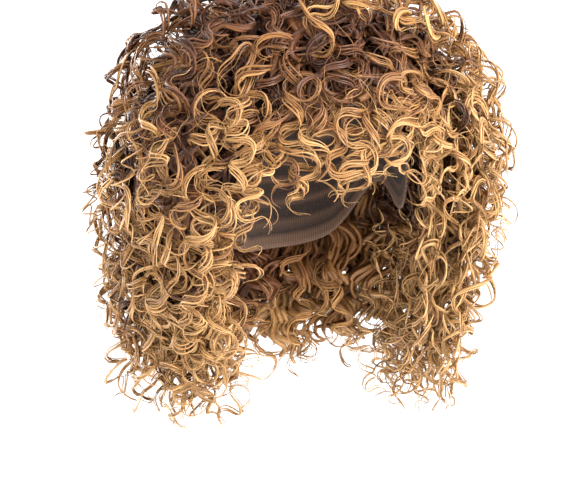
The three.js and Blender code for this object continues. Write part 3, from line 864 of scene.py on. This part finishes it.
# The crown hair: the top rows of the same fibre, sewn in rings round the crown, which fall outwards over
# all the other sections. They keep the brown of the roots for most of their length, and their curls are
# wider and looser.
TOP_CURL = dict(LOCK, radius=0.0122, pitch=0.039, ribbon=0.0017, apart=0.0044, brown=1.4, uneven=0.3)
sew_section("crown_curls", "crown_hair", BROWN_HAIR, seed=16, rows=[
    # Painted shade makes the flat layers under the crown's locks darkest.
    dict(BAND, locks=10, azimuth=(-180, 180), root=(0.01, 0.03), tip=(0.26, 0.3), depth=(0.06, 0.24),
         ribbon=0.02, painted_shade=0.55),
    dict(BAND, locks=12, azimuth=(-180, 180), root=(0.01, 0.03), tip=(0.42, 0.48), depth=(0.12, 0.46),
         ribbon=0.02, painted_shade=0.55),
    dict(BAND, locks=15, azimuth=(-174, 186), root=(0.1, 0.12), tip=(0.42, 0.5), depth=(0.3, 0.6),
         ribbon=0.02, painted_shade=0.55),
    dict(BAND, locks=8, azimuth=(-80, 80), root=(0.18, 0.22), tip=(0.48, 0.56), depth=(0.3, 0.62),
         ribbon=0.016, brown=1.5, painted_shade=0.55),
    dict(TOP_CURL, locks=11, azimuth=(-180, 180), root=(0.01, 0.04), tip=(0.28, 0.36),
         depth=(0.4, 0.68)),
    dict(TOP_CURL, locks=19, azimuth=(-180, 180), root=(0.07, 0.11), tip=(0.38, 0.48),
         depth=(0.45, 0.8)),
    dict(TOP_CURL, locks=23, azimuth=(-180, 180), root=(0.16, 0.22), tip=(0.48, 0.58), depth=(0.5, 0.92),
         radius=0.0112, pitch=0.036, brown=0.73),
    dict(TOP_CURL, locks=16, azimuth=(-180, 180), root=(0.08, 0.2), tip=(0.5, 0.6), depth=(0.52, 0.92),
         pitch=0.038, brown=0.48),
    dict(WISP, locks=14, azimuth=(-180, 180), root=(0.1, 0.22), tip=(0.36, 0.5), depth=(0.7, 0.9),
         radius=0.007, pitch=0.02, brown=1.0),
    dict(FRIZZ, locks=70, azimuth=(-180, 180), root=(0.02, 0.36), tip=(0.6, 0.65), depth=(0.5, 0.86),
         reach=(0.12, 0.25), brown=1.2),
])


# The set: a pale matt floor below the wig, an even white surround, four soft lamps and the camera.
# The strongest lamp stands at the front right, and one behind at the left lights the edge of the curls.
FLOOR_BELOW = 0.25
FLOOR_RADIUS = 7.0
FLOOR_SIDES = 64
FLOOR_DARKEST = (0.96, 0.96, 0.96, 1)
FLOOR_LIGHTEST = (0.99, 0.99, 0.99, 1)
FLOOR_MOTTLE_SCALE = 6.0
FLOOR_ROUGHNESS = 0.9
SURROUND_STRENGTH = 1.6
CAMERA_AZIMUTH = -30
CAMERA_HEIGHT_ANGLE = 3
CAMERA_DISTANCE = 1.6
FRAME_WIDTH = 0.464
SENSOR = 36
AIM_SIDEWAYS = -0.0128
AIM_HEIGHT = -0.155


def pale_floor():
    """A matt white floor with a very faint mottling: a soft noise between two pale greys."""
    material, tree, shader, add = new_material("pale_floor")
    place = add("ShaderNodeTexCoord").outputs["Object"]
    mottle = add("ShaderNodeTexNoise", {"Vector": place, "Scale": FLOOR_MOTTLE_SCALE, "Detail": 2.0})
    ramp = add("ShaderNodeValToRGB", {"Fac": mottle.outputs["Fac"]})
    ramp.color_ramp.elements[0].color = FLOOR_DARKEST
    ramp.color_ramp.elements[1].color = FLOOR_LIGHTEST
    tree.links.new(ramp.outputs["Color"], shader.inputs["Base Color"])
    shader.inputs["Roughness"].default_value = FLOOR_ROUGHNESS
    return material


turn = np.linspace(0, 2 * np.pi, FLOOR_SIDES, endpoint=False)
floor_height = np.full(FLOOR_SIDES, cad_box[0][2] - FLOOR_BELOW)
floor_edge = np.stack([FLOOR_RADIUS * np.cos(turn), FLOOR_RADIUS * np.sin(turn), floor_height], axis=-1)
new_piece("floor", floor_edge, np.arange(FLOOR_SIDES), np.array([FLOOR_SIDES]), pale_floor())

world = bpy.data.worlds.new("white_surround")
bpy.context.scene.world = world
world.use_nodes = True
world.node_tree.nodes["Background"].inputs["Color"].default_value = (1, 1, 1, 1)
world.node_tree.nodes["Background"].inputs["Strength"].default_value = SURROUND_STRENGTH

look = np.radians(CAMERA_AZIMUTH)
to_right = np.array([np.cos(look), np.sin(look), 0.0])
forward = np.array([-np.sin(look), np.cos(look), 0.0])
aim = AIM_SIDEWAYS * to_right + AIM_HEIGHT * UP


def put_in_set(name, data, place):
    """Puts a lamp or the camera at a place, turned to look along the line from there to the aim."""
    item = bpy.data.objects.new(name, data)
    item.location = place
    item.rotation_euler = Vector(aim - place).to_track_quat("-Z", "Y").to_euler()
    bpy.context.scene.collection.objects.link(item)
    return item


def soft_lamp(name, right, back, up, size, power):
    """A square lamp that faces the aim, from which it is so far to the right, back towards the camera
    and up."""
    lamp = bpy.data.lights.new(name, "AREA")
    lamp.size = size
    lamp.energy = power
    put_in_set(name, lamp, aim + right * to_right - back * forward + up * UP)


soft_lamp("front_left_lamp", right=-0.6, back=1.5, up=1.0, size=1.0, power=4)
soft_lamp("front_right_lamp", right=1.3, back=1.4, up=0.6, size=1.0, power=67)
soft_lamp("top_lamp", right=0.2, back=-0.6, up=1.4, size=0.8, power=12)
soft_lamp("rim_lamp", right=-1.0, back=-1.1, up=0.5, size=0.9, power=34)

camera = bpy.data.cameras.new("camera")
camera.sensor_width = SENSOR
camera.lens = SENSOR * CAMERA_DISTANCE / FRAME_WIDTH
tilt_down = np.radians(CAMERA_HEIGHT_ANGLE)
camera_place = aim - CAMERA_DISTANCE * (np.cos(tilt_down) * forward - np.sin(tilt_down) * UP)
bpy.context.scene.camera = put_in_set("camera", camera, camera_place)
bpy.context.scene.view_settings.view_transform = "Standard"
